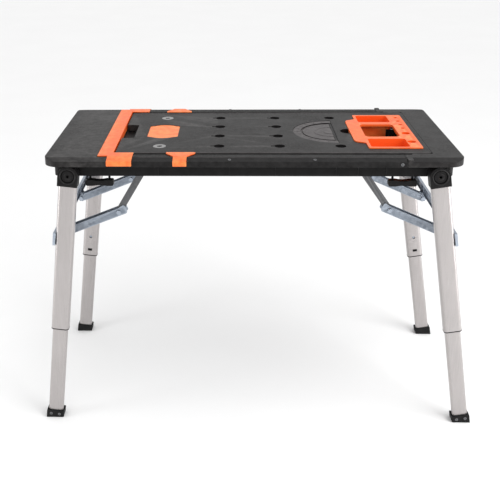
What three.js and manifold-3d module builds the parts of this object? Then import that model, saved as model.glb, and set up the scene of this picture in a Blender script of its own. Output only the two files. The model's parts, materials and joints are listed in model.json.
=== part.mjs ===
// Folding work platform bench: a plastic bench top with a sliding vice jaw and
// dog holes, on two folding pairs of telescopic aluminium legs.
// Millimetres, +Z up, X along the bench, the front at -Y. The feet stand on z = 0
// under the middle of the top.
import * as THREE from "three";
import { mergeVertices } from "three/addons/utils/BufferGeometryUtils.js";
import Module from "manifold-3d";

const wasm = await Module();
wasm.setup();

// ---- driving dimensions -------------------------------------------------
const HEIGHT = 794; // top surface above the floor
const LENGTH = 1100;
const WIDTH = 560;
const GAP = 0.3; // between pieces that touch
const CORNER_R = 40; // outer corners of the top, in plan
const RIM_T = 20; // thickness of the rails, jaw and end cap
const EDGE_FALL = 5; // the rails' outer border falls by this
const EDGE_W = 24; // width of that border

const SKIRT = { openX: -325, x: 530, y: 238, wall: 6, depth: 58, ledge: 32, ledgeT: 5 };
const RAIL_IN = 229; // inner edge of the two long rails
const RAIL_X0 = -378;
const CAP_X0 = 400;
const CAP_IN_X = 474.4; // the end cap's inner edge
const BOARD = { x0: -366, x1: 474, y: 220, t: 18 };
const GAP_END_X = 420; // the gaps beside the board end here, in the end cap
const JAW = { x1: -411, cheekX: -380.5, cheekY: 252 };
const BUMPER = { x0: -409, x1: -370, y: 250, armIn: 221, armX: -316, proud: 3, depth: 16 };
const NOTCH = { x: -332, y: 70, r: 10 };

const HOLE_COLUMNS = [-89, 76.5, 242.5];
const HOLE_ROWS = [-151.5, -50.5, 50.5, 151.5];
const HOLE_R = 15;
const KEY = { length: 9, width: 7 };
const DISH = { x: 242.5, r: 120, depth: 6, rimW: 15, rimDepth: 2 };
const FINGER = { x: 284, r: 26 };
const PAD = { x: -252.5, hx: 44, hy: 60, bulge: 25, depth: 7 };
const SOCKET = { x: -252.5, y: 151.5, r: 18, bore: 7, flange: 2, tube: 11 };

const TRAY = { x0: 315, x1: 460, y: 176, tabX: 285, tabY: 112, tabChamfer: 14, proud: 2.5, depth: 44, wall: 4 };
const TRAY_PLAY = 1;

const LATCH = { frontX: -190, backX: -221, halfW: 39, stemHalfW: 18, in: 219, t: 3 };

const HINGE = { x: 487, z: HEIGHT - 48.5 };
const LEG_Y = 257;
const SPLAY = { left: 6.5, right: 9.2 }; // degrees outward from vertical
const TUBE = { x: 49, y: 30, r: 9, wall: 2, top: 29.3, end: 457 };
const INNER = { x: 42, y: 23.5, r: 7, wall: 1.8, overlap: 120 };
const COLLAR = { top: 430, flange: 2.5 };
const WINDOW = { u: 437, w: 14.5, h: 8.5 };
const BUTTON = { u: 390, r: 4, holeR: 5, nose: 0.6 };
const FOOT = { x: 50, y: 34, h: 22, plug: 18 };
const HUB = { r: 27, end: 29, in: 241, out: 275, recessR: 18, recess: 3.5, spigot: 60 };
const PIN_R = 6;

const BAR = { n0: 24.8, n1: 32, u0: 166, u1: 202, wall: 2 };
const BRACE_Y = 145;
const LEG_PIVOT = { u: 212, n: 21.6 };
const FRAME_PIVOT = { x: 281, z: HEIGHT - 38 };
const LOWER = { length: 172, tip: 23, h: 11, out: 13, wall: 2, endR: 9.5, webEnd: 34 };
const UPPER = { length: 180, h: 9, out: 10, wall: 2 };
const BOLT_R = 4;
const BOLT_HOLE_R = 4.4;
const STRAP = { halfW: 16, t: 3, z: HEIGHT - 25.6 };

const GRIP = { left: 409.5, right: 399, length: 76, out: 236.5, in: 216.5, top: 70, h: 17.5, waist: 2.2, post: 6 };
const GUIDE = { y: 190, z: HEIGHT - 38, r: 6, x0: -424, x1: -140, lugX: -412, lugHalf: 9 };
const GUIDE_BLOCK = { x0: -360, x1: -330, halfY: 14 };

const GREY = { color: 0xb9bcc2, roughness: 0.35, metalness: 0.9 };
const ALU = { color: 0xcfcccb, roughness: 0.3, metalness: 0.9 };
const BLACK = { color: 0x232224, roughness: 0.6, metalness: 0 };
const ORANGE = { color: 0xf2622a, roughness: 0.45, metalness: 0 };
const DARK_STEEL = { color: 0x6d7073, roughness: 0.4, metalness: 0.9 };
const RUBBER = { color: 0x141414, roughness: 0.85, metalness: 0 };

// ---- solids ---------------------------------------------------------------
const SEGMENTS = 20;

function solid(geometry) {
  const bare = geometry.index ? geometry.toNonIndexed() : geometry.clone();
  bare.deleteAttribute("normal");
  bare.deleteAttribute("uv");
  const merged = mergeVertices(bare, 1e-4);
  return new wasm.Manifold(
    new wasm.Mesh({
      numProp: 3,
      vertProperties: new Float32Array(merged.attributes.position.array),
      triVerts: new Uint32Array(merged.index.array),
    }),
  );
}

function geometryOf(body) {
  const mesh = body.getMesh();
  const geometry = new THREE.BufferGeometry();
  geometry.setAttribute("position", new THREE.BufferAttribute(mesh.vertProperties, 3));
  geometry.setIndex(new THREE.BufferAttribute(mesh.triVerts, 1));
  geometry.computeVertexNormals();
  return geometry;
}

const add = (...bodies) => bodies.reduce((all, body) => all.add(body));
const cut = (body, ...tools) => tools.reduce((left, tool) => left.subtract(tool), body);

// A box given by its low and high corners.
function block([x0, y0, z0], [x1, y1, z1]) {
  const box = new THREE.BoxGeometry(x1 - x0, y1 - y0, z1 - z0);
  box.translate((x0 + x1) / 2, (y0 + y1) / 2, (z0 + z1) / 2);
  return solid(box);
}

// A cylinder along "x", "y" or "z", from a to b on that axis.
function rod(axis, r, a, b, [p, q], segments = SEGMENTS) {
  const cylinder = new THREE.CylinderGeometry(r, r, b - a, segments);
  if (axis === "z") cylinder.rotateX(Math.PI / 2).translate(p, q, (a + b) / 2);
  if (axis === "x") cylinder.rotateZ(Math.PI / 2).translate((a + b) / 2, p, q);
  if (axis === "y") cylinder.translate(p, (a + b) / 2, q);
  return solid(cylinder);
}

function extruded(shape, depth, curveSegments = 6) {
  return new THREE.ExtrudeGeometry(shape, { depth, bevelEnabled: false, curveSegments });
}

// A plan outline raised from z0 to z1.
function raised(shape, z0, z1, curveSegments) {
  return solid(extruded(shape, z1 - z0, curveSegments).translate(0, 0, z0));
}

// An outline in x and z, given depth along Y from y0 to y1.
function across(shape, y0, y1, curveSegments) {
  return solid(extruded(shape, y1 - y0, curveSegments).rotateX(Math.PI / 2).translate(0, y1, 0));
}

// An outline in y and z, given depth along X from x0 to x1.
function along(shape, x0, x1, curveSegments) {
  return solid(
    extruded(shape, x1 - x0, curveSegments)
      .rotateX(Math.PI / 2)
      .rotateZ(Math.PI / 2)
      .translate(x0, 0, 0),
  );
}

function polygon(points) {
  return new THREE.Shape(points.map(([x, y]) => new THREE.Vector2(x, y)));
}

// A polygon whose corners are rounded off, r along each side.
function eased(points, r) {
  const shape = new THREE.Shape();
  const corners = points.map(([x, y]) => new THREE.Vector2(x, y));
  corners.forEach((corner, i) => {
    const before = corners.at(i - 1).clone().sub(corner).setLength(r).add(corner);
    const after = corners[(i + 1) % corners.length].clone().sub(corner).setLength(r).add(corner);
    if (i === 0) shape.moveTo(before.x, before.y);
    else shape.lineTo(before.x, before.y);
    shape.quadraticCurveTo(corner.x, corner.y, after.x, after.y);
  });
  return shape;
}

// A rectangle with four corner radii: lower left, lower right, upper right, upper left.
function rounded(x0, y0, x1, y1, radii) {
  const [a, b, c, d] = Array.isArray(radii) ? radii : [radii, radii, radii, radii];
  const shape = new THREE.Shape();
  shape.moveTo(x0 + a, y0);
  shape.lineTo(x1 - b, y0);
  if (b) shape.absarc(x1 - b, y0 + b, b, -Math.PI / 2, 0);
  shape.lineTo(x1, y1 - c);
  if (c) shape.absarc(x1 - c, y1 - c, c, 0, Math.PI / 2);
  shape.lineTo(x0 + d, y1);
  if (d) shape.absarc(x0 + d, y1 - d, d, Math.PI / 2, Math.PI);
  shape.lineTo(x0, y0 + a);
  if (a) shape.absarc(x0 + a, y0 + a, a, Math.PI, 1.5 * Math.PI);
  return shape;
}

// A round-cornered tube down the local -Z axis, from u0 to u1.
function boxTube(x, y, r, u0, u1, cx = 0, cy = 0) {
  return raised(rounded(cx - x / 2, cy - y / 2, cx + x / 2, cy + y / 2, r), -u1, -u0, 3);
}

const bench = new THREE.Group();

function piece(name, body, look, parent = bench) {
  const mesh = new THREE.Mesh(geometryOf(body), new THREE.MeshStandardMaterial(look));
  mesh.name = name;
  parent.add(mesh);
  return mesh;
}

// ---- the bench top ----------------------------------------------------------
const top = (depth) => HEIGHT - depth;

// The wedge that planes the outer border of a rail down, on the side of sign.
function borderWedge(sign, x0, x1) {
  const outer = sign * (WIDTH / 2 + 1);
  const inner = sign * (WIDTH / 2 - EDGE_W);
  const fall = EDGE_FALL * ((EDGE_W + 1) / EDGE_W);
  const shape = polygon([
    [inner, top(0)],
    [outer, top(fall)],
    [outer, top(-10)],
    [inner, top(-10)],
  ]);
  return along(shape, x0, x1);
}

function longRail(sign) {
  const y = [sign * RAIL_IN, (sign * WIDTH) / 2].sort((a, b) => a - b);
  const body = block([RAIL_X0, y[0], top(RIM_T)], [CAP_X0 - GAP, y[1], top(0)]);
  return cut(body, borderWedge(sign, RAIL_X0 - 1, CAP_X0 + 1));
}

function endCap() {
  const half = WIDTH / 2;
  const plan = rounded(CAP_X0, -half, LENGTH / 2, half, [0, CORNER_R, CORNER_R, 0]);
  const edge = BOARD.y + GAP;
  const well = block([CAP_X0 - 1, -edge, top(RIM_T) - 1], [CAP_IN_X, edge, top(-2)]);
  const gaps = block([CAP_X0 - 1, -RAIL_IN, top(RIM_T) - 1], [GAP_END_X, RAIL_IN, top(-2)]);
  const body = cut(raised(plan, top(RIM_T), top(0), 8), well, gaps);
  const wedges = [-1, 1].map((sign) => borderWedge(sign, CAP_X0 + 14, LENGTH / 2 + 1));
  return cut(body, ...wedges);
}

function jawPlate() {
  const half = WIDTH / 2;
  const plan = rounded(-LENGTH / 2, -half, JAW.cheekX, half, [CORNER_R, 0, 0, CORNER_R]);
  const between = block([JAW.x1, -JAW.cheekY, top(RIM_T) - 1], [0, JAW.cheekY, top(-2)]);
  const wedges = [-1, 1].map((sign) => borderWedge(sign, -LENGTH / 2 - 1, JAW.cheekX + 1));
  const body = cut(raised(plan, top(RIM_T), top(0), 8), between, ...wedges);
  const lugs = [-1, 1].map((sign) => guideLug(sign));
  return add(body, ...lugs);
}

// The lug under the jaw that carries one guide bar.
function guideLug(sign) {
  const y = sign * GUIDE.y;
  const hangs = block(
    [GUIDE.lugX - 2 * GUIDE.lugHalf, y - 14, GUIDE.z - 12],
    [GUIDE.lugX, y + 14, top(RIM_T) + 1],
  );
  return cut(hangs, rod("x", GUIDE.r + GAP, GUIDE.lugX - 14, GUIDE.lugX + 1, [y, GUIDE.z], 16));
}

function guideBar(sign) {
  const bar = rod("x", GUIDE.r, GUIDE.lugX - 13, GUIDE.x1, [sign * GUIDE.y, GUIDE.z], 16);
  return bar;
}

// Section of a strap that lies on the rail and wraps its outer border.
function wrapSection(sign, inner, t, drop) {
  const edge = WIDTH / 2 + GAP;
  const knee = WIDTH / 2 - EDGE_W;
  return polygon(
    [
      [inner, top(-GAP)],
      [knee, top(-GAP)],
      [edge, top(EDGE_FALL - GAP)],
      [edge, top(drop)],
      [edge + t, top(drop)],
      [edge + t, top(EDGE_FALL - 1)],
      [knee + 1, top(-GAP - t)],
      [inner, top(-GAP - t)],
    ].map(([y, z]) => [sign * y, z]),
  );
}

function jawBumper() {
  const { x0, x1, y, armIn, armX, proud, depth } = BUMPER;
  const bar = block([x0, -y, top(depth)], [x1, y, top(-proud)]);
  const arms = [-1, 1].map((sign) => along(wrapSection(sign, armIn, proud - GAP, 17), x1 - 12, armX));
  const clear = [-1, 1].map((sign) => railCorner(sign, x0, x1));
  return add(cut(bar, ...clear), ...arms);
}

// The room that the rail's end needs under the bumper's bar.
function railCorner(sign, x0, x1) {
  const y = [sign * (RAIL_IN - 1), sign * (WIDTH / 2)].sort((a, b) => a - b);
  return block([x0 - 1, y[0], top(RIM_T)], [x1 + 1, y[1], top(-GAP)]);
}

// A clip with a flange that narrows towards the stem which wraps the rail.
function latch(sign, x) {
  const { in: inner, halfW, stemHalfW, t } = LATCH;
  const knee = WIDTH / 2 - EDGE_W;
  const plan = polygon(
    [
      [x - halfW, inner],
      [x + halfW, inner],
      [x + halfW, inner + 9],
      [x + stemHalfW, knee],
      [x - stemHalfW, knee],
      [x - halfW, inner + 9],
    ].map(([px, py]) => [px, sign * py]),
  );
  const flange = raised(plan, top(-GAP), top(-GAP - t));
  const stem = along(wrapSection(sign, inner + 10, t, 17), x - stemHalfW, x + stemHalfW);
  return add(flange, stem);
}

function padOutline(grow) {
  const hx = PAD.hx + grow;
  const hy = PAD.hy + grow;
  const shape = new THREE.Shape();
  shape.moveTo(-hx + 10, -hy);
  shape.quadraticCurveTo(0, -hy - PAD.bulge, hx - 10, -hy);
  shape.quadraticCurveTo(hx, -hy, hx, -hy + 10);
  shape.lineTo(hx, hy - 10);
  shape.quadraticCurveTo(hx, hy, hx - 10, hy);
  shape.quadraticCurveTo(0, hy + PAD.bulge, -hx + 10, hy);
  shape.quadraticCurveTo(-hx, hy, -hx, hy - 10);
  shape.lineTo(-hx, -hy + 10);
  shape.quadraticCurveTo(-hx, -hy, -hx + 10, -hy);
  return shape;
}

function trayOutline(grow) {
  const { x0, x1, y, tabX, tabY, tabChamfer } = TRAY;
  return eased([
    [x0 - grow, -y - grow],
    [x1 + grow, -y - grow],
    [x1 + grow, y + grow],
    [x0 - grow, y + grow],
    [x0 - grow, tabY + tabChamfer + grow],
    [tabX - grow + 4, tabY + grow],
    [tabX - grow, tabY - tabChamfer + grow],
    [tabX - grow, -tabY + tabChamfer - grow],
    [tabX - grow + 4, -tabY - grow],
    [x0 - grow, -tabY - tabChamfer - grow],
  ], 6);
}

function dogHole(x, y) {
  const keyed = x < DISH.x;
  const hole = rod("z", HOLE_R, top(BOARD.t) - 1, top(-1), [x, y]);
  if (!keyed) return hole;
  const key = block(
    [x - HOLE_R - KEY.length, y - KEY.width / 2, top(BOARD.t) - 1],
    [x, y + KEY.width / 2, top(-1)],
  );
  return add(hole, key);
}

function halfDisc(x, r, z0, z1) {
  const shape = new THREE.Shape();
  shape.moveTo(x, -r);
  shape.lineTo(x, r);
  shape.absarc(x, 0, r, Math.PI / 2, 1.5 * Math.PI);
  return raised(shape, z0, z1, 16);
}

function centreBoard() {
  const { x0, x1, y, t } = BOARD;
  const cuts = [];
  for (const x of HOLE_COLUMNS) {
    for (const row of HOLE_ROWS) {
      const underDish = x === DISH.x && Math.abs(row) < DISH.r / 2;
      if (!underDish) cuts.push(dogHole(x, row));
    }
  }
  cuts.push(halfDisc(DISH.x, DISH.r, top(DISH.rimDepth), top(-1)));
  cuts.push(halfDisc(DISH.x - DISH.rimW / 2, DISH.r - DISH.rimW, top(DISH.depth), top(-1)));
  cuts.push(rod("z", FINGER.r, top(12), top(-1), [FINGER.x, 0]));
  cuts.push(raised(padOutline(0), top(PAD.depth), top(-1)).translate([PAD.x, 0, 0]));
  for (const sign of [-1, 1]) {
    cuts.push(rod("z", SOCKET.r + GAP, top(SOCKET.flange + GAP), top(-1), [SOCKET.x, sign * SOCKET.y]));
    cuts.push(rod("z", SOCKET.tube + GAP, top(t) - 1, top(0), [SOCKET.x, sign * SOCKET.y]));
  }
  cuts.push(block([x0 - 1, -NOTCH.y, top(t) - 1], [NOTCH.x, NOTCH.y, top(-1)]));
  cuts.push(raised(trayOutline(TRAY_PLAY), top(t) - 1, top(-1)));
  return cut(raised(rounded(x0, -y, x1, y, 14), top(t), top(0), 4), ...cuts);
}

const pad = () => raised(padOutline(-GAP), 0, PAD.depth - GAP - 1);

function socket() {
  const flange = rod("z", SOCKET.r, -SOCKET.flange, 0, [0, 0]);
  const sleeve = rod("z", SOCKET.tube, -BOARD.t, -SOCKET.flange + 0.5, [0, 0]);
  const bore = rod("z", SOCKET.bore, -BOARD.t - 1, 1, [0, 0], 16);
  return cut(add(flange, sleeve), bore);
}

// The frame under the top: a skirt with a ledge that the board and rails lie on.
function underframe() {
  const { x, y, wall, depth, ledge, ledgeT } = SKIRT;
  const low = top(depth);
  const high = top(RIM_T) - GAP;
  const outside = raised(rounded(-x, -y, x, y, 16), low, high, 4);
  const inside = raised(
    rounded(-x + wall, -y + wall, x - wall, y - wall, 10),
    low - 1,
    high - ledgeT,
    4,
  );
  const hole = raised(
    rounded(SKIRT.openX, -y + ledge, x - ledge, y - ledge, 10),
    high - ledgeT - 1,
    high + 1,
    4,
  );
  const slots = [-1, 1].map((sign) =>
    block(
      [GUIDE.lugX - 2 * GUIDE.lugHalf - 102, sign * GUIDE.y - 15, high - ledgeT - 1],
      [GUIDE.lugX + 2, sign * GUIDE.y + 15, high + 1],
    ),
  );
  const blocks = [-1, 1].map((sign) => guideBlock(sign, high));
  const bores = [-1, 1].map((sign) =>
    rod("x", GUIDE.r + 0.5, GUIDE_BLOCK.x0 - 1, GUIDE_BLOCK.x1 + 1, [sign * GUIDE.y, GUIDE.z], 16),
  );
  const pinHoles = [];
  for (const end of [-1, 1]) {
    pinHoles.push(rod("y", PIN_R + GAP, -y - 1, y + 1, [end * HINGE.x, HINGE.z], 16));
  }
  return cut(add(cut(outside, inside, hole, ...slots), ...blocks), ...bores, ...pinHoles);
}

function guideBlock(sign, high) {
  const { x0, x1, halfY } = GUIDE_BLOCK;
  const y = [sign * (GUIDE.y - halfY), sign * (SKIRT.y - 1)].sort((a, b) => a - b);
  return block([x0, y[0], GUIDE.z - 12], [x1, y[1], high]);
}

// A tray cell: a pocket in the tray's body, open at the top.
function pocket(x0, y0, x1, y1, floor, r = 6) {
  return raised(rounded(x0, y0, x1, y1, r), top(floor), top(-TRAY.proud) + 1, 3);
}

function toolTray() {
  const plate = raised(trayOutline(0), top(4), top(-TRAY.proud));
  const { x0, x1, y, wall, depth } = TRAY;
  const cells = [
    [x0 + 8, 92, x0 + 102, 166],
    [x0 + 8, -166, x0 + 112, -88],
  ];
  const boxes = cells.map(([a, b, c, d]) =>
    raised(rounded(a - wall, b - wall, c + wall, d + wall, 8), top(depth), top(3), 3),
  );
  const strip = raised(rounded(x1 - 34, -y + 6, x1 - 3, y - 6, 5), top(18), top(3), 3);
  const pockets = cells.map(([a, b, c, d]) => pocket(a, b, c, d, depth - 3));
  const handHole = raised(
    rounded(x0 + 7, -66, x0 + 104, 66, 14),
    top(depth) - 1,
    top(-TRAY.proud) + 1,
    4,
  );
  const bits = [144, 104, 64, 24].map((at) => rod("z", 6, top(15), top(-6), [x1 - 18, at], 16));
  const cups = [-31, -117].map((at) => rod("z", 12, top(15), top(-6), [x1 - 20, at]));
  return cut(add(plate, strip, ...boxes), handHole, ...pockets, ...bits, ...cups);
}

function buildTop() {
  piece("underframe", underframe(), BLACK);
  piece("front_rail", longRail(-1), BLACK);
  piece("back_rail", longRail(1), BLACK);
  piece("end_cap_right", endCap(), BLACK);
  piece("centre_board", centreBoard(), BLACK);
  const padMesh = piece("orange_pad", pad(), ORANGE);
  padMesh.position.set(PAD.x, 0, top(PAD.depth - GAP));
  for (const [name, sign] of [["front", -1], ["back", 1]]) {
    const ring = piece(`socket_${name}`, socket(), ALU);
    ring.position.set(SOCKET.x, sign * SOCKET.y, HEIGHT);
  }
  piece("tool_tray", toolTray(), ORANGE);
  piece("jaw_plate", jawPlate(), BLACK);
  piece("jaw_bumper", jawBumper(), ORANGE);
  piece("jaw_guide_front", guideBar(-1), GREY);
  piece("jaw_guide_back", guideBar(1), GREY);
  piece("latch_front", latch(-1, LATCH.frontX), ORANGE);
  piece("latch_back", latch(1, LATCH.backX), ORANGE);
}

// ---- under the top ----------------------------------------------------------
// The strap across the underframe at one end, with the two ears of each upper link.
function crossStrap() {
  const { halfW, t, z } = STRAP;
  const reach = SKIRT.y - SKIRT.wall - GAP;
  const parts = [block([FRAME_PIVOT.x - halfW, -reach, z - t], [FRAME_PIVOT.x + halfW, reach, z])];
  for (const side of [-BRACE_Y, BRACE_Y]) {
    for (const sign of [-1, 1]) {
      const y = [side + sign * (UPPER.out + 0.4), side + sign * (UPPER.out + 2.4)];
      y.sort((a, b) => a - b);
      const ear = rounded(FRAME_PIVOT.x - 10, FRAME_PIVOT.z - 9, FRAME_PIVOT.x + 10, z - 1, 4);
      parts.push(across(ear, y[0], y[1], 3));
    }
    parts.push(boltAcross(side, UPPER.out + 7, [FRAME_PIVOT.x, FRAME_PIVOT.z]));
    parts.push(boltHeads(side, UPPER.out + 2.3, 4, [FRAME_PIVOT.x, FRAME_PIVOT.z]));
  }
  return add(...parts);
}

function boltAcross(side, half, at) {
  return rod("y", BOLT_R, side - half + 2, side + half - 2, at, 12);
}

function boltHeads(side, from, t, at) {
  return add(
    rod("y", BOLT_R * 1.7, side - from - t, side - from, at, 6),
    rod("y", BOLT_R * 1.7, side + from, side + from + t, at, 6),
  );
}

// A bone-shaped grip, hung from the underframe's ledge on two posts.
function carryGrip() {
  const { length, out, in: inner, top: upper, h, waist, post } = GRIP;
  const half = length / 2;
  const shape = new THREE.Shape();
  shape.moveTo(-half + 6, -h);
  shape.lineTo(-half + 20, -h);
  shape.quadraticCurveTo(0, -h + 2 * waist, half - 20, -h);
  shape.lineTo(half - 6, -h);
  shape.quadraticCurveTo(half, -h, half, -h + 6);
  shape.lineTo(half, -6);
  shape.quadraticCurveTo(half, 0, half - 6, 0);
  shape.lineTo(half - 20, 0);
  shape.quadraticCurveTo(0, -2 * waist, -half + 20, 0);
  shape.lineTo(-half + 6, 0);
  shape.quadraticCurveTo(-half, 0, -half, -6);
  shape.lineTo(-half, -h + 6);
  shape.quadraticCurveTo(-half, -h, -half + 6, -h);
  const grip = across(shape, inner - out, 0, 4);
  const reach = upper - RIM_T - SKIRT.ledgeT - 2 * GAP;
  const posts = [-1, 1].map((sign) =>
    block(
      [sign * (half - 12) - post / 2, inner - out + 4, -4],
      [sign * (half - 12) + post / 2, inner - out + 10, reach],
    ),
  );
  return add(grip, ...posts);
}

// ---- one folding pair of legs -------------------------------------------------
// Everything of a pair is laid out with +X outward; the left pair is turned by 180 degrees.
function rotatedAbout(group, degrees) {
  group.rotation.y = THREE.MathUtils.degToRad(degrees);
  return group;
}

function linkPlaces(splay) {
  const a = THREE.MathUtils.degToRad(splay);
  const legEnd = new THREE.Vector2(
    HINGE.x + Math.sin(a) * LEG_PIVOT.u + Math.cos(a) * LEG_PIVOT.n,
    HINGE.z - Math.cos(a) * LEG_PIVOT.u + Math.sin(a) * LEG_PIVOT.n,
  );
  const frameEnd = new THREE.Vector2(FRAME_PIVOT.x, FRAME_PIVOT.z);
  const toLeg = legEnd.clone().sub(frameEnd);
  const span = toLeg.length();
  const reach = (UPPER.length ** 2 - LOWER.length ** 2 + span ** 2) / (2 * span);
  const rise = Math.sqrt(UPPER.length ** 2 - reach ** 2);
  const unit = toLeg.divideScalar(span);
  const knee = new THREE.Vector2(
    frameEnd.x + unit.x * reach + unit.y * rise,
    frameEnd.y + unit.y * reach - unit.x * rise,
  );
  return { legEnd, frameEnd, knee };
}

function hub() {
  const { r, end, in: inner, out, recessR, recess, spigot } = HUB;
  const shape = new THREE.Shape();
  shape.moveTo(-r, -end);
  shape.lineTo(r, -end);
  shape.lineTo(r, 0);
  shape.absarc(0, 0, r, 0, Math.PI);
  const cap = across(shape, inner - LEG_Y, out - LEG_Y, 12);
  const plug = boxTube(TUBE.x - 2 * TUBE.wall - 0.6, TUBE.y - 2 * TUBE.wall - 0.6, 6, end - 1, spigot);
  const dish = rod("y", recessR, out - LEG_Y - recess, out - LEG_Y + 1, [0, 0], 20);
  const bore = rod("y", PIN_R + GAP, -60, 60, [0, 0], 12);
  return cut(add(cap, plug), dish, bore);
}

// The hinge pin: head in the hub's recess, nut inside the skirt.
function hingePin() {
  const face = HUB.out - LEG_Y;
  const wall = SKIRT.y - LEG_Y;
  const profile = [
    [0, wall - SKIRT.wall - 7],
    [10, wall - SKIRT.wall - 7],
    [10, wall - SKIRT.wall - GAP],
    [PIN_R, wall - SKIRT.wall - GAP],
    [PIN_R, face - HUB.recess + GAP],
    [HUB.recessR - 1, face - HUB.recess + GAP],
    [HUB.recessR - 1, face - 1.5],
    [HUB.recessR - 3, face - 0.5],
    [0, face - 0.5],
  ].map(([r, y]) => new THREE.Vector2(r, y));
  return solid(new THREE.LatheGeometry(profile, 16));
}

function outerTube(inward) {
  const { x, y, r, wall, top: start, end } = TUBE;
  const shell = cut(
    boxTube(x, y, r, start, end),
    boxTube(x - 2 * wall, y - 2 * wall, r - wall, start - 1, end + 1),
  );
  const face = [(inward * y) / 2 - 2 * wall, (inward * y) / 2 + 2 * wall];
  const button = rod("y", BUTTON.holeR, face[0], face[1], [0, -BUTTON.u], 12);
  const { u, w, h } = WINDOW;
  const window = block([-w / 2, face[0], -u - h / 2], [w / 2, face[1], -u + h / 2]);
  return cut(shell, button, window);
}

function collar(inward) {
  const { x, y, wall, end } = TUBE;
  const bore = boxTube(INNER.x + 0.8, INNER.y + 0.8, INNER.r, COLLAR.top - 1, end + 9);
  const sleeve = boxTube(x - 2 * wall - 0.6, y - 2 * wall - 0.6, 6.6, COLLAR.top, end + 1);
  const flange = boxTube(x + 0.6, y + 0.6, TUBE.r, end + GAP, end + GAP + COLLAR.flange);
  const { u, w, h } = WINDOW;
  const reach = [inward * (y / 2 - wall - 0.8), inward * (y / 2 - 0.4)].sort((a, b) => a - b);
  const tab = block(
    [-w / 2 + 0.4, reach[0], -u - h / 2 + 0.4],
    [w / 2 - 0.4, reach[1], -u + h / 2 - 0.4],
  );
  return add(cut(add(sleeve, flange), bore), tab);
}

function innerTube(inward, foot) {
  const { x, y, r, wall, overlap } = INNER;
  const shell = cut(
    boxTube(x, y, r, TUBE.end - overlap, foot),
    boxTube(x - 2 * wall, y - 2 * wall, r - wall, TUBE.end - overlap - 1, foot + 1),
  );
  const face = [(inward * y) / 2 - 2 * wall, (inward * y) / 2 + 2 * wall];
  return cut(shell, rod("y", BUTTON.r + GAP, face[0], face[1], [0, -BUTTON.u], 12));
}

function snapButton(inward) {
  const skin = INNER.y / 2;
  const ends = [inward * (skin + BUTTON.nose), inward * (skin - 7)].sort((a, b) => a - b);
  const stop = [inward * (skin - INNER.wall - GAP), inward * (skin - 7)].sort((a, b) => a - b);
  return add(
    rod("y", BUTTON.r, ends[0], ends[1], [0, -BUTTON.u], 12),
    rod("y", BUTTON.r + 2, stop[0], stop[1], [0, -BUTTON.u], 12),
  );
}

// The foot's sole is level with the floor, so its cut follows the leg's splay.
function foot(splay, start) {
  const sole = HINGE.z / Math.cos(splay);
  const half = FOOT.x / 2;
  const drop = half * Math.tan(splay);
  const side = polygon([
    [-half, -sole + drop],
    [half, -sole - drop],
    [half, -start - GAP],
    [-half, -start - GAP],
  ]);
  const shoe = across(side, -FOOT.y / 2, FOOT.y / 2);
  const { x, y, wall, r } = INNER;
  const plug = boxTube(x - 2 * wall - 0.6, y - 2 * wall - 0.6, r - wall, start - FOOT.plug, start + 2);
  return add(shoe, plug);
}

// The bar across the pair's outer faces, with the ears that carry both braces.
function crossbar() {
  const { n0, n1, u0, u1, wall } = BAR;
  const half = LEG_Y + TUBE.y / 2;
  const channel = cut(
    block([n0, -half, -u1], [n1, half, -u0]),
    block([n0 - 1, -half + wall, -u1 + wall], [n1 - wall, half - wall, -u0 - wall]),
  );
  const { u, n } = LEG_PIVOT;
  const ear = polygon([
    [n1 - 0.5, -u0 - 8],
    [n1 - 0.5, -u - 3],
    [n + 5, -u - 9],
    [n - 5, -u - 9],
    [n - 9, -u - 2],
    [n - 8, -u + 7],
    [n0 - 0.5, -u0 - 24],
    [n0 - 0.5, -u0 - 8],
  ]);
  const parts = [channel];
  for (const side of [-BRACE_Y, BRACE_Y]) {
    for (const sign of [-1, 1]) {
      const y = [side + sign * (LOWER.out + 0.4), side + sign * (LOWER.out + 2.4)];
      y.sort((a, b) => a - b);
      parts.push(across(ear, y[0], y[1]));
    }
    parts.push(boltAcross(side, LOWER.out + 7, [n, -u]));
    parts.push(boltHeads(side, LOWER.out + 2.3, 4, [n, -u]));
  }
  return add(...parts);
}

// The lower link: a channel open at the top, its knee at the origin, the leg at +X.
function lowerLink() {
  const { length, tip, h, out, wall, endR, webEnd } = LOWER;
  const side = new THREE.Shape();
  side.moveTo(-tip, -h + 3);
  side.lineTo(-tip + 4, -h);
  side.lineTo(length - 12, -h);
  side.lineTo(length, -endR);
  side.absarc(length, 0, endR, -Math.PI / 2, Math.PI / 2);
  side.lineTo(length - 12, h);
  side.lineTo(0, h);
  side.lineTo(-tip + 3, h + 4);
  side.lineTo(-tip, h + 1);
  const parts = [];
  for (const sign of [-1, 1]) {
    const y = [sign * (out - wall), sign * out].sort((a, b) => a - b);
    parts.push(across(side, y[0], y[1], 5));
  }
  parts.push(block([webEnd, -out + 0.5, -h], [length - 16, out - 0.5, -h + wall]));
  parts.push(boltHeads(0, out - 0.2, 4.2, [0, 0]));
  const hole = rod("y", BOLT_HOLE_R, -out - 1, out + 1, [length, 0], 12);
  return cut(add(...parts), hole);
}

// The upper link: a narrower channel, its knee at the origin, the frame pivot at +X.
function upperLink() {
  const { length, h, out, wall } = UPPER;
  const side = new THREE.Shape();
  side.moveTo(0, -h);
  side.lineTo(length, -h);
  side.absarc(length, 0, h, -Math.PI / 2, Math.PI / 2);
  side.lineTo(0, h);
  side.absarc(0, 0, h, Math.PI / 2, 1.5 * Math.PI);
  const walls = [-1, 1].map((sign) => {
    const y = [sign * (out - wall), sign * out].sort((a, b) => a - b);
    return across(side, y[0], y[1], 4);
  });
  const web = block([14, -out + 0.5, h - wall], [length - 14, out - 0.5, h]);
  const holes = [0, length].map((at) => rod("y", BOLT_HOLE_R, -out - 1, out + 1, [at, 0], 10));
  return cut(add(...walls, web), ...holes);
}

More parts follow.
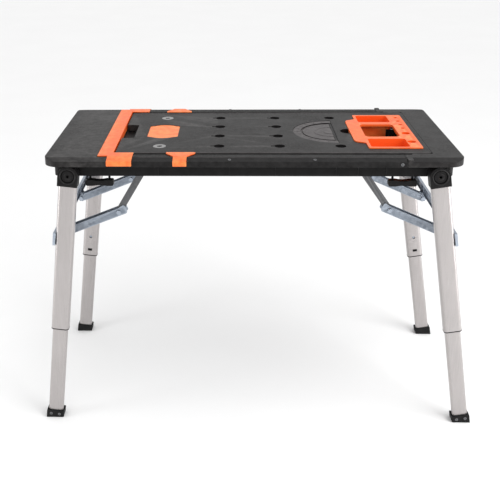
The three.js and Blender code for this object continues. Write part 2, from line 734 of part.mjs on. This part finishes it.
function buildLegPair(side, turn, splayDegrees) {
  const splay = THREE.MathUtils.degToRad(splayDegrees);
  const pair = new THREE.Group();
  pair.rotation.z = turn;
  bench.add(pair);
  const facing = turn ? -1 : 1;
  const nameOf = (y) => (y * facing < 0 ? "front" : "back");
  const frame = new THREE.Group();
  frame.position.set(HINGE.x, 0, HINGE.z);
  pair.add(rotatedAbout(frame, -splayDegrees));
  const footStart = HINGE.z / Math.cos(splay) - FOOT.h;
  for (const y of [-LEG_Y, LEG_Y]) {
    const outward = Math.sign(y);
    const end = `${side}_${nameOf(y)}`;
    const leg = new THREE.Group();
    leg.position.y = y;
    frame.add(leg);
    const turned = outward < 0 ? Math.PI : 0;
    piece(`hub_${end}`, hub(), BLACK, leg).rotation.z = turned;
    piece(`outer_leg_${end}`, outerTube(-outward), ALU, leg);
    piece(`collar_${end}`, collar(-outward), BLACK, leg);
    piece(`inner_leg_${end}`, innerTube(-outward, footStart), ALU, leg);
    piece(`snap_button_${end}`, snapButton(-outward), GREY, leg);
    piece(`foot_${end}`, foot(splay, footStart), RUBBER, leg);
    const pin = piece(`hinge_pin_${end}`, hingePin(), BLACK, pair);
    pin.position.set(HINGE.x, y, HINGE.z);
    pin.rotation.z = turned;
  }
  const grip = piece(`carry_grip_${side}`, carryGrip(), BLACK);
  grip.position.set(facing * GRIP[side], -GRIP.out, top(GRIP.top));
  grip.rotation.z = Math.PI;
  piece(`crossbar_${side}`, crossbar(), GREY, frame);
  piece(`strap_${side}`, crossStrap(), GREY, pair);
  const places = linkPlaces(splayDegrees);
  for (const y of [-BRACE_Y, BRACE_Y]) {
    buildBrace(`${side}_${nameOf(y)}`, y, places, pair);
  }
}

function buildBrace(end, y, { legEnd, frameEnd, knee }, pair) {
  const lower = piece(`lower_link_${end}`, lowerLink(), GREY, pair);
  const upper = piece(`upper_link_${end}`, upperLink(), DARK_STEEL, pair);
  for (const [mesh, far] of [[lower, legEnd], [upper, frameEnd]]) {
    mesh.position.set(knee.x, y, knee.y);
    mesh.rotation.y = -Math.atan2(far.y - knee.y, far.x - knee.x);
  }
}

buildTop();
buildLegPair("left", Math.PI, SPLAY.left);
buildLegPair("right", 0, SPLAY.right);

// The frame's origin is under the middle of the bench's overall length.
const extent = new THREE.Box3().setFromObject(bench, true);
bench.position.x = -(extent.min.x + extent.max.x) / 2;

export default bench;
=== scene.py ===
# Looks of the folding work platform bench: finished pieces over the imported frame.
import json
import math

import bmesh
import bpy
from mathutils import Euler, Matrix, Vector


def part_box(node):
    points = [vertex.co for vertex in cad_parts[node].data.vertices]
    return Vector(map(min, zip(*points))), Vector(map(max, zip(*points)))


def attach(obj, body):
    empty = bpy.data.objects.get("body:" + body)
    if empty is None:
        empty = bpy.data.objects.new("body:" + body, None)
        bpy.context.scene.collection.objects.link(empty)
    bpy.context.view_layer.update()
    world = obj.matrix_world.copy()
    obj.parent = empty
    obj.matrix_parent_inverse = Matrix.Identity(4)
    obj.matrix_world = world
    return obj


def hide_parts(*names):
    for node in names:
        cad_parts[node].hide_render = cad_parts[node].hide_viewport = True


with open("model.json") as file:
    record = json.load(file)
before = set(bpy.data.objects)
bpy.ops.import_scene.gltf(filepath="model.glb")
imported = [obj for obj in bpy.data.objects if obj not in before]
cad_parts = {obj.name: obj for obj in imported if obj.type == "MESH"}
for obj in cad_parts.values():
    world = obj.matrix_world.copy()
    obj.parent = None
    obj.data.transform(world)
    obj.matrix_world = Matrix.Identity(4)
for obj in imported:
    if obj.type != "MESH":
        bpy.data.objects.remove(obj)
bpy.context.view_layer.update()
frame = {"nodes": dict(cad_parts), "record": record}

NODES = frame["nodes"]
RECORD = frame["record"]
BODY_OF = {n: b for b, names in RECORD["behaviour"]["bodies"].items() for n in names}
SLOT_OF = {s["node"]: s["material_slot"] for s in RECORD["subparts"]}

# Places are in metres; outlines and profiles are in millimetres.
MM = 0.001
TOP_Z = 0.794
SHIFT_X = sum(v.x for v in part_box("underframe")) / 2  # the middle of the top; the jaw overhangs it
HINGE_X, HINGE_Z = 0.487, 0.7455
SPLAY = {"left": math.radians(6.5), "right": math.radians(9.2)}
SIDE_SIGN = {"left": -1, "right": 1}
END_SIGN = {"front": -1, "back": 1}
LEG_Y = 0.257
FOOT_HALF_Y = 0.017
FOOT_SCREW_UP = 12
CROSSBAR_FACE = 32  # from the leg's middle line to the crossbar's outer face
CROSSBAR_SCREWS = {"upper": 176, "lower": 192}  # down the leg from its hinge
RAIL_SCREWS = {"rail": 0.162, "middle": -0.06}
RAIL_SCREW_Y, RAIL_SCREW_FALL = 0.269, 2.7
BORDER_FALL = (5, 24)  # the rails' outer border drops by the first over the second
END_SCREW = (0.386, 0.2796, 0.0125)
HUB_FACE_Y, PIN_FACE_Y = 0.2747, 0.2743
DISH_FLAT_X, BAND_FLAT_X = 234.3, 241.5  # the half-round recess ends here, its band a little further
# Painted highlights: the pale beads along the board's and the rails' edges are light lines for the light
# those edges catch.
BOARD_HIGHLIGHT_BEAD = ((-345, 466), 213.5, 0.1, 0.9)  # ends, distance from the middle line, height, radius
RAIL_HIGHLIGHT_BEAD = ((-300, 396), 254.5, -0.1, 0.7)
SKIRT_RIBS = (-250, -60, 62, 222, 280, 354)
SKIRT_RIB = (1.2, 237.5, 239.4, -56, -21.5)  # half width, inner and outer face, low, high


# ---- materials --------------------------------------------------------------
class Shader:
    """A Principled material under construction; every texture is in the row frame's metres."""

    def __init__(self, name, color, roughness, metallic=0.0):
        self.material = bpy.data.materials.new(name)
        self.material.use_nodes = True
        self.tree = self.material.node_tree
        self.bsdf = self.tree.nodes["Principled BSDF"]
        self.bsdf.inputs["Base Color"].default_value = (*color, 1)
        self.bsdf.inputs["Roughness"].default_value = roughness
        self.bsdf.inputs["Metallic"].default_value = metallic
        self.coords = self.node("ShaderNodeTexCoord").outputs["Object"]

    def node(self, kind, **values):
        made = self.tree.nodes.new(kind)
        for key, value in values.items():
            setattr(made, key, value)
        return made

    def link(self, source, target):
        self.tree.links.new(source, target)

    def mapped(self, scale, turn=0.0):
        mapping = self.node("ShaderNodeMapping")
        mapping.inputs["Scale"].default_value = scale
        mapping.inputs["Rotation"].default_value = (0, turn, 0)
        self.link(self.coords, mapping.inputs["Vector"])
        return mapping.outputs["Vector"]

    def noise(self, scale, detail=4.0, vector=None, rough=0.55):
        made = self.node("ShaderNodeTexNoise")
        made.inputs["Scale"].default_value = scale
        made.inputs["Detail"].default_value = detail
        made.inputs["Roughness"].default_value = rough
        self.link(vector or self.coords, made.inputs["Vector"])
        return made.outputs["Fac"]

    def spread(self, value, low, high, start=0.3, end=0.7):
        made = self.node("ShaderNodeMapRange")
        for key, number in zip(("From Min", "From Max", "To Min", "To Max"), (start, end, low, high)):
            made.inputs[key].default_value = number
        self.link(value, made.inputs["Value"])
        return made.outputs["Result"]

    def mix(self, factor, a, b):
        made = self.node("ShaderNodeMix", data_type="RGBA")
        self.link(factor, made.inputs["Factor"])
        for socket, value in ((made.inputs["A"], a), (made.inputs["B"], b)):
            if isinstance(value, tuple):
                socket.default_value = (*value, 1)
            else:
                self.link(value, socket)
        return made.outputs["Result"]

    def edges(self, start=0.51, end=0.56):
        return self.spread(self.node("ShaderNodeNewGeometry").outputs["Pointiness"], 0.0, 1.0, start, end)

    def times(self, a, b):
        made = self.node("ShaderNodeMath", operation="MULTIPLY")
        self.link(a, made.inputs[0])
        if isinstance(b, float):
            made.inputs[1].default_value = b
        else:
            self.link(b, made.inputs[1])
        return made.outputs["Value"]

    def bump(self, height, strength, distance, after=None):
        made = self.node("ShaderNodeBump")
        made.inputs["Strength"].default_value = strength
        made.inputs["Distance"].default_value = distance
        self.link(height, made.inputs["Height"])
        if after:
            self.link(after, made.inputs["Normal"])
        return made.outputs["Normal"]

    def finish(self, color=None, roughness=None, normal=None):
        for value, key in ((color, "Base Color"), (roughness, "Roughness"), (normal, "Normal")):
            if value is not None:
                self.link(value, self.bsdf.inputs[key])
        return self.material


def plastic(name, dark, light, worn, rough=(0.42, 0.6), grain=900.0, gloss=0.14):
    s = Shader(name, dark, rough[0])
    cloud = s.spread(s.noise(9.0, 5.0), 0.0, 1.0)
    fleck = s.spread(s.noise(260.0, 2.0), 0.0, 1.0)
    base = s.mix(cloud, dark, light)
    rubbed = s.times(s.edges(), s.spread(s.noise(60.0, 3.0), 0.15, 0.8))
    color = s.mix(rubbed, base, worn)
    roughness = s.spread(s.times(cloud, fleck), rough[0], rough[1], 0.0, 0.8)
    fine = s.bump(s.noise(grain, 3.0), 0.22, 0.0004)
    normal = s.bump(s.noise(35.0, 2.0), 0.05, 0.001, fine)
    s.bsdf.inputs["Specular IOR Level"].default_value = gloss
    return s.finish(color, roughness, normal)


def brushed(name, dark, light, turn, rough=(0.24, 0.4)):
    s = Shader(name, dark, rough[0], 0.92)
    lines = s.noise(1.0, 6.0, s.mapped((1500.0, 1500.0, 9.0), turn), 0.7)
    cloud = s.spread(s.noise(7.0, 4.0), 0.0, 1.0)
    color = s.mix(s.times(s.spread(lines, 0.0, 1.0), 0.7), dark, light)
    stained = s.mix(s.times(cloud, 0.25), color, tuple(0.8 * c for c in dark))
    roughness = s.spread(lines, rough[0], rough[1])
    s.bsdf.inputs["Anisotropic"].default_value = 0.35
    return s.finish(stained, roughness, s.bump(lines, 0.12, 0.0002))


def zinc(name, dark, light, rough=(0.3, 0.5), metallic=0.85):
    s = Shader(name, dark, rough[0], metallic)
    flakes = s.node("ShaderNodeTexVoronoi")
    flakes.inputs["Scale"].default_value = 120.0
    s.link(s.coords, flakes.inputs["Vector"])
    grey = s.node("ShaderNodeRGBToBW")
    s.link(flakes.outputs["Color"], grey.inputs["Color"])
    cloud = s.noise(22.0, 5.0)
    color = s.mix(s.times(s.spread(cloud, 0.1, 1.0), grey.outputs["Val"]), dark, light)
    worn = s.mix(s.times(s.edges(), 0.6), color, tuple(min(1.0, 1.35 * c) for c in light))
    roughness = s.spread(cloud, rough[0], rough[1])
    return s.finish(worn, roughness, s.bump(s.noise(420.0, 4.0), 0.12, 0.0003))


MATERIALS = {
    "black_plastic": plastic(
        "black_plastic", (0.003, 0.0027, 0.0028), (0.0055, 0.005, 0.0052), (0.026, 0.025, 0.025)
    ),
    "deck_plastic": plastic(
        "deck_plastic", (0.006, 0.0053, 0.0055), (0.0095, 0.0084, 0.0087), (0.06, 0.057, 0.056),
        (0.38, 0.52), 520.0,
    ),
    # Pale grey: the half-round recess's own plastic, and also the colour of the painted highlight beads
    # along the board's and rails' edges.
    "inlay_and_highlight_plastic": plastic(
        "inlay_and_highlight_plastic", (0.05, 0.045, 0.046), (0.085, 0.078, 0.08), (0.13, 0.12, 0.12), (0.4, 0.6), 320.0
    ),
    "orange_plastic": plastic(
        "orange_plastic", (0.84, 0.088, 0.008), (0.9, 0.125, 0.018), (1.0, 0.36, 0.1),
        (0.34, 0.48), 700.0, 0.4,
    ),
    "aluminium_left": brushed("aluminium_left", (0.4, 0.376, 0.37), (0.62, 0.588, 0.582), -SPLAY["left"]),
    "aluminium_right": brushed("aluminium_right", (0.4, 0.376, 0.37), (0.62, 0.588, 0.582), SPLAY["right"]),
    "turned_metal": brushed("turned_metal", (0.3, 0.3, 0.3), (0.52, 0.51, 0.51), 0.0, (0.24, 0.38)),
    "zinc_steel": zinc("zinc_steel", (0.2, 0.228, 0.27), (0.42, 0.465, 0.53)),
    "dark_steel": zinc("dark_steel", (0.07, 0.073, 0.077), (0.15, 0.15, 0.155), (0.38, 0.55), 0.6),
    "foot_rubber": plastic(
        "foot_rubber", (0.004, 0.004, 0.0045), (0.008, 0.008, 0.0085), (0.02, 0.02, 0.02), (0.6, 0.8), 300.0
    ),
}
DECK = {"centre_board", "end_cap_right", "jaw_plate"}


def look_of(node):
    slot = SLOT_OF[node]
    if slot == "aluminium":
        side = next((s for s in SPLAY if s in node), None)
        return MATERIALS[f"aluminium_{side}"] if side else MATERIALS["turned_metal"]
    return MATERIALS["deck_plastic" if node in DECK else slot]


# ---- refined shells of the frame's nodes -------------------------------------
BEVEL = {
    "orange_pad": 0.0, "centre_board": 0.8, "underframe": 1.2, "tool_tray": 1.0, "jaw_plate": 1.6,
    "front_rail": 1.6, "back_rail": 1.6, "end_cap_right": 1.6, "jaw_bumper": 1.0, "latch": 0.8,
    "hub": 1.6, "outer_leg": 0.5, "inner_leg": 0.5, "collar": 0.5, "foot": 1.8, "crossbar": 0.7,
    "lower_link": 0.5, "upper_link": 0.5, "strap": 0.5, "carry_grip": 2.6, "snap_button": 0.6,
    "hinge_pin": 0.7, "socket": 0.5, "jaw_guide": 0.5,
}


def finished(obj, body, slot, material, *nodes):
    obj.data.materials.clear()
    obj.data.materials.append(material)
    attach(obj, body)
    if nodes:
        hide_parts(*nodes)
    return obj


def smooth(obj, width, segments=3, angle=32.0):
    """Rounds the edges of obj and shades its curves smoothly."""
    mesh = obj.data
    bm = bmesh.new()
    bm.from_mesh(mesh)
    bmesh.ops.remove_doubles(bm, verts=bm.verts, dist=1e-6)
    bmesh.ops.dissolve_limit(bm, angle_limit=math.radians(0.6), verts=bm.verts, edges=bm.edges)
    bm.to_mesh(mesh)
    bm.free()
    mesh.shade_smooth()
    mesh.set_sharp_from_angle(angle=math.radians(angle))
    if width:
        bevel = obj.modifiers.new("round", "BEVEL")
        bevel.width = width
        bevel.segments = segments
        bevel.limit_method = "ANGLE"
        bevel.angle_limit = math.radians(angle)
        bevel.use_clamp_overlap = True
        bevel.harden_normals = True
        bevel.miter_outer = "MITER_ARC"
        deps = bpy.context.evaluated_depsgraph_get()
        baked = bpy.data.meshes.new_from_object(obj.evaluated_get(deps))
        obj.modifiers.clear()
        obj.data = baked
    return obj


def shell(node):
    """The node's own shape with worked edges, standing in for it."""
    obj = bpy.data.objects.new(f"{node}_shell", NODES[node].data.copy())
    bpy.context.scene.collection.objects.link(obj)
    kind = next(k for k in BEVEL if node.startswith(k))
    smooth(obj, BEVEL[kind] * MM)
    return finished(obj, BODY_OF[node], SLOT_OF[node], look_of(node), node)


for name in sorted(NODES):
    shell(name)


# ---- small parts ----------------------------------------------------------------
def mesh_object(name, bm):
    mesh = bpy.data.meshes.new(name)
    bm.to_mesh(mesh)
    bm.free()
    obj = bpy.data.objects.new(name, mesh)
    bpy.context.scene.collection.objects.link(obj)
    return obj


def turned(name, profile, segments=28):
    """A closed body of revolution about +Z; the profile is (radius, height) in millimetres."""
    bm = bmesh.new()
    rings = []
    for r, z in profile:
        if r < 1e-6:
            rings.append([bm.verts.new((0, 0, z * MM))])
            continue
        steps = [2 * math.pi * i / segments for i in range(segments)]
        rings.append([bm.verts.new((r * MM * math.cos(a), r * MM * math.sin(a), z * MM)) for a in steps])
    for lower, upper in zip(rings, rings[1:]):
        for i in range(segments):
            j = (i + 1) % segments
            corners = [(lower, i), (lower, j), (upper, j), (upper, i)]
            unique = list(dict.fromkeys(ring[k % len(ring)] for ring, k in corners))
            if len(unique) > 2:
                bm.faces.new(unique)
    bmesh.ops.recalc_face_normals(bm, faces=bm.faces)
    obj = mesh_object(name, bm)
    obj.data.shade_smooth()
    obj.data.set_sharp_from_angle(angle=math.radians(40))
    return obj


def place(obj, at, towards=(0, 0, 1)):
    turn = Vector((0, 0, 1)).rotation_difference(Vector(towards)).to_matrix().to_4x4()
    obj.matrix_world = Matrix.Translation(Vector(at)) @ turn
    return obj


SCREW = [(0, 0.2), (1.6, 0.2), (1.6, 1.1), (2.2, 1.5), (3.2, 1.5), (4.2, 0.7), (4.3, -0.4), (0, -0.4)]
PIN_BOSS = [(0, 0.2), (3.2, 0.2), (4.4, 1.2), (9.0, 1.0), (10.2, 0.2), (10.2, -0.2), (0, -0.2)]


def fastener(name, profile, at, towards, body, material="zinc_steel"):
    obj = place(turned(name, profile), at, towards)
    return finished(obj, body, "zinc_steel", MATERIALS[material])


def leg_point(side, u, n, y):
    """A point u down a leg from its hinge and n outward from the leg's middle line."""
    a = SPLAY[side]
    x = HINGE_X + math.sin(a) * u + math.cos(a) * n
    z = HINGE_Z - math.cos(a) * u + math.sin(a) * n
    return Vector((SHIFT_X + SIDE_SIGN[side] * x, y, z))


def leg_outward(side):
    a = SPLAY[side]
    return Vector((SIDE_SIGN[side] * math.cos(a), 0, math.sin(a)))


for side in SPLAY:
    for end, sign in END_SIGN.items():
        for row, u in CROSSBAR_SCREWS.items():
            at = leg_point(side, u * MM, CROSSBAR_FACE * MM, sign * LEG_Y)
            fastener(f"crossbar_screw_{side}_{end}_{row}", SCREW, at, leg_outward(side), f"legs_{side}")

for end, sign in END_SIGN.items():
    tilt = Vector((0, sign * BORDER_FALL[0], BORDER_FALL[1])).normalized()
    for row, x in RAIL_SCREWS.items():
        at = (SHIFT_X + x, sign * RAIL_SCREW_Y, TOP_Z - RAIL_SCREW_FALL * MM)
        fastener(f"{row}_screw_{end}", SCREW, at, tilt, "top", "dark_steel")
    x, y, fall = END_SCREW
    at = (SHIFT_X + x, sign * y, TOP_Z - fall)
    fastener(f"end_screw_{end}", SCREW, at, (0, sign, 0), "top", "dark_steel")


def prism(name, outline, low, high):
    """A plan outline (millimetres, from the middle of the top) between two depths below the top."""
    bm = bmesh.new()
    rings = []
    for z in (low, high):
        rings.append([bm.verts.new((SHIFT_X + x * MM, y * MM, TOP_Z + z * MM)) for x, y in outline])
    count = len(outline)
    bm.faces.new(rings[0])
    bm.faces.new(rings[1])
    for i in range(count):
        j = (i + 1) % count
        bm.faces.new((rings[0][i], rings[0][j], rings[1][j], rings[1][i]))
    bmesh.ops.recalc_face_normals(bm, faces=bm.faces)
    return mesh_object(name, bm)


def half_ring(inner, outer, flat_x, steps=40):
    """The outline of a half ring that opens towards +X."""
    turns = [math.pi / 2 + math.pi * i / steps for i in range(steps + 1)]
    out = [(flat_x + outer * math.cos(a), outer * math.sin(a)) for a in turns]
    if inner:
        out += [(flat_x + inner * math.cos(a), inner * math.sin(a)) for a in reversed(turns)]
    return out


def radial_bar(a, inner, outer, half):
    """The outline of a bar along the band's radius at angle a, half wide to each side."""
    across = Vector((-math.sin(a) * half, math.cos(a) * half))
    ends = [Vector((BAND_FLAT_X + r * math.cos(a), r * math.sin(a))) for r in (inner, outer)]
    return [tuple(v) for v in (ends[0] - across, ends[1] - across, ends[1] + across, ends[0] + across)]


def protractor():
    """The half-round recess: a broad pale band, a dark one, and the raised middle."""
    for name, inner, outer, low, high in (
        ("band", 97, 118.5, -1.98, -0.7),
        ("step", 84, 96.5, -5.98, -4.2),
        ("middle", 0, 83.5, -5.98, -1.6),
        ("rib", 46, 52, -1.55, -0.9),
        ("boss", 0, 24, -1.55, -0.8),
    ):
        flat = BAND_FLAT_X if name == "band" else DISH_FLAT_X
        obj = prism(f"protractor_{name}", half_ring(inner, outer, flat), low, high)
        smooth(obj, 0.45 * MM, 2)
        finished(obj, "top", "black_plastic", MATERIALS["inlay_and_highlight_plastic"])
    for i in range(1, 12):
        a = math.pi / 2 + math.pi * i / 12
        outer = 114.0 if i % 3 == 0 else 108.0
        tick = prism(f"protractor_tick_{i}", radial_bar(a, 100.0, outer, 0.6), -0.72, -0.45)
        finished(tick, "top", "black_plastic", MATERIALS["deck_plastic"])


def bead(name, points, radius, body, material, slot="black_plastic"):
    """A thin raised bead along a line of points in millimetres from the middle of the top; in the pale
    material it is a painted highlight line.
    """
    curve = bpy.data.curves.new(name, "CURVE")
    curve.dimensions = "3D"
    curve.bevel_depth = radius * MM
    curve.bevel_resolution = 2
    curve.use_fill_caps = True
    spline = curve.splines.new("POLY")
    spline.points.add(len(points) - 1)
    for spot, (x, y, z) in zip(spline.points, points):
        spot.co = (SHIFT_X + x * MM, y * MM, TOP_Z + z * MM, 1)
    obj = bpy.data.objects.new(name, curve)
    bpy.context.scene.collection.objects.link(obj)
    deps = bpy.context.evaluated_depsgraph_get()
    mesh = bpy.data.meshes.new_from_object(obj.evaluated_get(deps))
    bpy.data.objects.remove(obj)
    made = bpy.data.objects.new(name, mesh)
    bpy.context.scene.collection.objects.link(made)
    mesh.shade_smooth()
    return finished(made, body, slot, material)


protractor()
for end, sign in END_SIGN.items():
    # Painted highlights: pale beads along the board's and rails' edges stand in for the light lines on
    # those edges.
    for row, (ends, y, z, radius) in (("board", BOARD_HIGHLIGHT_BEAD), ("rail", RAIL_HIGHLIGHT_BEAD)):
        line = [(x, sign * y, z) for x in ends]
        bead(f"{row}_bead_{end}", line, radius, "top", MATERIALS["inlay_and_highlight_plastic"])
    half, inner, outer, low, high = SKIRT_RIB
    for i, x in enumerate(SKIRT_RIBS):
        across = ((-half, inner), (half, inner), (half, outer), (-half, outer))
        outline = [(x + step, sign * y) for step, y in across]
        rib = prism(f"skirt_rib_{end}_{i}", outline, low, high)
        finished(rib, "top", "black_plastic", MATERIALS["black_plastic"])


def tray_pan():
    """The dark space under the tray: a floor, and a wall beside the tray's back pocket."""
    for part, x0, y0, x1, y1, low, high in (
        ("floor", 300, -110, 523, 110, -56.5, -53.5),
        ("wall", 405, 83, 470, 86, -53.7, -18),
    ):
        outline = [(x0, y0), (x1, y0), (x1, y1), (x0, y1)]
        pan = smooth(prism(f"tray_pan_{part}", outline, low, high), 0.6 * MM, 2)
        finished(pan, "top", "black_plastic", MATERIALS["black_plastic"])


tray_pan()


def ring_profile(inner, outer, height):
    mid = (inner + outer) / 2
    return [(inner, 0), (outer, 0), (outer, height * 0.6), (mid, height), (inner, height * 0.6), (inner, 0)]


for side in SPLAY:
    for end, sign in END_SIGN.items():
        hinge_x = SHIFT_X + SIDE_SIGN[side] * HINGE_X
        hoop = turned(f"hub_ring_{side}_{end}", ring_profile(18.6, 22.2, 2.4), 40)
        place(hoop, (hinge_x, sign * HUB_FACE_Y, HINGE_Z), (0, sign, 0))
        finished(hoop, f"legs_{side}", "black_plastic", MATERIALS["black_plastic"])
        boss = turned(f"pin_boss_{side}_{end}", PIN_BOSS, 32)
        place(boss, (hinge_x, sign * PIN_FACE_Y, HINGE_Z), (0, sign, 0))
        finished(boss, "top", "black_plastic", MATERIALS["black_plastic"])
        # Two screws in each foot's shoe, on the face that looks along the bench's width.
        for step in (-12, 12):
            u = HINGE_Z / math.cos(SPLAY[side]) - FOOT_SCREW_UP * MM
            spot = leg_point(side, u, step * MM, sign * (LEG_Y + FOOT_HALF_Y))
            body = f"foot_leg_{side}_{end}"
            fastener(f"foot_screw_{side}_{end}_{step + 12}", SCREW, spot, (0, sign, 0), body, "dark_steel")


# ---- camera, light and floor ----------------------------------------------------
def aim_camera():
    """Sets the camera in front of the bench, a little above it and turned slightly to its left."""
    yaw, pitch, roll = (math.radians(v) for v in (-2.5, 19.5, -0.7))
    level = math.cos(pitch)
    forward = Vector((math.sin(yaw) * level, math.cos(yaw) * level, -math.sin(pitch)))
    right = Vector((math.cos(yaw), -math.sin(yaw), 0))
    up = right.cross(forward)
    rolled_right = right * math.cos(roll) + up * math.sin(roll)
    rolled_up = -right * math.sin(roll) + up * math.cos(roll)
    data = bpy.data.cameras.new("camera")
    data.sensor_width = 36
    data.lens = 59.77
    data.shift_x = 0.10
    data.shift_y = -0.12
    data.clip_end = 200
    obj = bpy.data.objects.new("camera", data)
    turn = Matrix((rolled_right, rolled_up, -forward)).transposed().to_4x4()
    obj.matrix_world = Matrix.Translation((-0.0474 + SHIFT_X, -2.3336, TOP_Z + 0.6456)) @ turn
    bpy.context.scene.collection.objects.link(obj)
    bpy.context.scene.camera = obj


def area_light(name, at, target, size, power):
    data = bpy.data.lights.new(name, "AREA")
    data.shape = "RECTANGLE"
    data.size, data.size_y = size
    data.energy = power
    obj = bpy.data.objects.new(name, data)
    direction = Vector(target) - Vector(at)
    obj.rotation_euler = direction.to_track_quat("-Z", "Y").to_euler()
    obj.location = at
    bpy.context.scene.collection.objects.link(obj)


def studio():
    floor = Shader("floor", (0.86, 0.86, 0.86), 0.85)
    cloud = floor.spread(floor.noise(2.0), 0.0, 1.0)
    material = floor.finish(floor.mix(cloud, (0.87, 0.87, 0.87), (0.885, 0.885, 0.885)))
    bm = bmesh.new()
    bmesh.ops.create_grid(bm, x_segments=1, y_segments=1, size=60)
    plane = mesh_object("floor", bm)
    plane.location.z = -0.0005
    plane.data.materials.append(material)
    world = bpy.data.worlds.new("studio")
    world.use_nodes = True
    world.node_tree.nodes["Background"].inputs["Color"].default_value = (1, 1, 1, 1)
    world.node_tree.nodes["Background"].inputs["Strength"].default_value = 0.84
    bpy.context.scene.world = world
    sun = bpy.data.lights.new("overhead", "SUN")
    sun.energy = 0.75
    sun.angle = math.radians(50)
    lamp = bpy.data.objects.new("overhead", sun)
    lamp.rotation_euler = Euler((math.radians(14), math.radians(20), 0))
    bpy.context.scene.collection.objects.link(lamp)
    area_light("key", (2.4, -2.2, 2.6), (0, 0, 0.5), (1.6, 1.6), 45)
    area_light("right_strip", (2.6, -0.9, 0.7), (-0.4, -0.2, 0.45), (0.8, 1.6), 30)
    area_light("left_strip", (-2.6, -0.9, 0.7), (0.4, -0.2, 0.45), (0.8, 1.6), 18)


aim_camera()
studio()
bpy.context.scene.view_settings.view_transform = "Standard"
